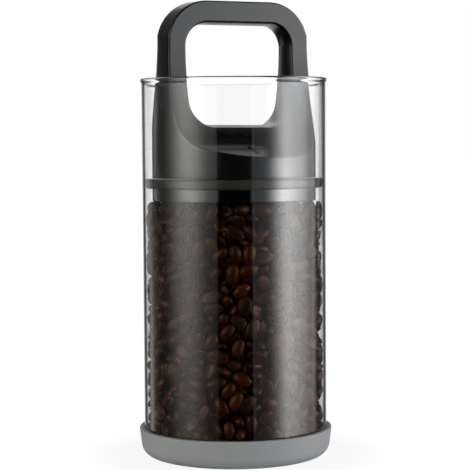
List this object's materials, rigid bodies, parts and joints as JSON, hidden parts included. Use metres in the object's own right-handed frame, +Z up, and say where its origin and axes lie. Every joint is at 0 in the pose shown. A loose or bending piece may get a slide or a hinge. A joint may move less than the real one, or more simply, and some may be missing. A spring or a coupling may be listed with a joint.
{
  "type": "coffee canister",
  "caption": "Tall glass coffee canister in a soft boot, with a push-down piston lid: upright loop handle, wiper seal, release valve and one-way relief valve.",
  "frame": {"origin": "centre of the boot's underside, on the surface it stands on", "axes": "+Z up along the jar, X along the handle's bar, -Y towards the side with the vent slit"},
  "size_m": [0.1056, 0.1056, 0.2468],
  "materials": {
    "clear_glass": "clear, fire-polished rim",
    "grey_silicone": "matte, soft touch",
    "black_plastic": "fine satin",
    "shell_plastic": "satin moulded",
    "dark_silicone": "matte",
    "white_plastic": "plain",
    "red_silicone": "matte",
    "steel": "bright",
    "spring_steel": "drawn wire",
    "dark_steel": "blackened",
    "brass": "turned"
  },
  "bodies": {
    "canister": {"glass_jar": "clear_glass", "base_boot": "grey_silicone"},
    "piston": {"sole_plate": "black_plastic", "sole_screws": "steel", "piston_plate": "black_plastic", "wiper_seal": "dark_silicone", "seal_clamp": "black_plastic", "clamp_screws": "steel", "centre_bolt": "steel", "hub_nut": "steel", "guide_pins": "steel", "relief_cage": "white_plastic", "relief_spring": "spring_steel", "return_spring": "spring_steel", "spring_washer": "steel", "retaining_clip": "dark_steel"},
    "handle": {"handle_shell": "shell_plastic", "inner_cover": "black_plastic", "cover_screws": "steel", "guide_bush": "brass", "vent_disc": "red_silicone"},
    "relief_valve": {"relief_flap": "red_silicone"}
  },
  "joints": [
    {"name": "piston_slide", "type": "slide", "parent": "canister", "child": "piston", "axis": [0, 0, 1], "range_m": [0, 0.085]},
    {"name": "handle_release", "type": "slide", "parent": "piston", "child": "handle", "axis": [0, 0, 1], "range_m": [0, 0.003], "stiffness_N_per_m": 900, "springref_m": -0.004, "deforming": ["return_spring"]},
    {"name": "relief_lift", "type": "slide", "parent": "piston", "child": "relief_valve", "axis": [0, 0, 1], "range_m": [0, 0.0012], "stiffness_N_per_m": 60, "springref_m": -0.002, "deforming": ["relief_spring"]}
  ]
}
